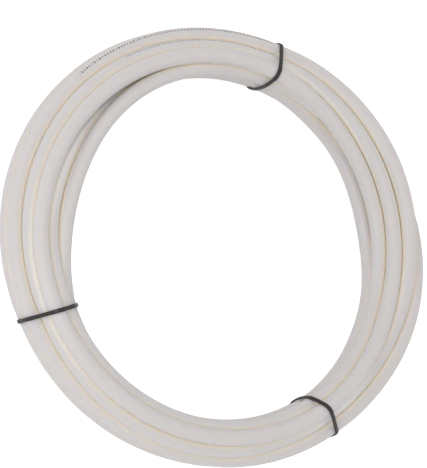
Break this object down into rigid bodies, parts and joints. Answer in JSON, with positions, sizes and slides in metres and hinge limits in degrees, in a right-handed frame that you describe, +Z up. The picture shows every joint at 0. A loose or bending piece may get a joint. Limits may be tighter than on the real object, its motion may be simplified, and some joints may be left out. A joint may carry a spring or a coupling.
{
  "type": "coil of reverse osmosis tubing",
  "caption": "Flat-lying coil of white polyethylene water tubing held by black cable ties, with a straight free end for a push-in fitting.",
  "frame": {"origin": "on the floor under the middle of the coil's eye", "axes": "+Z up along the coil's axis; +X along the tube's straight free end, towards its cut face"},
  "size_m": [0.2651, 0.263, 0.0496],
  "materials": {
    "tubing": "satin white polyethylene, slightly translucent",
    "tie_nylon": "black moulded nylon"
  },
  "bodies": {
    "root": {"tubing_coil": "tubing", "cable_tie_a": "tie_nylon", "cable_tie_b": "tie_nylon", "cable_tie_c": "tie_nylon"}
  },
  "joints": []
}
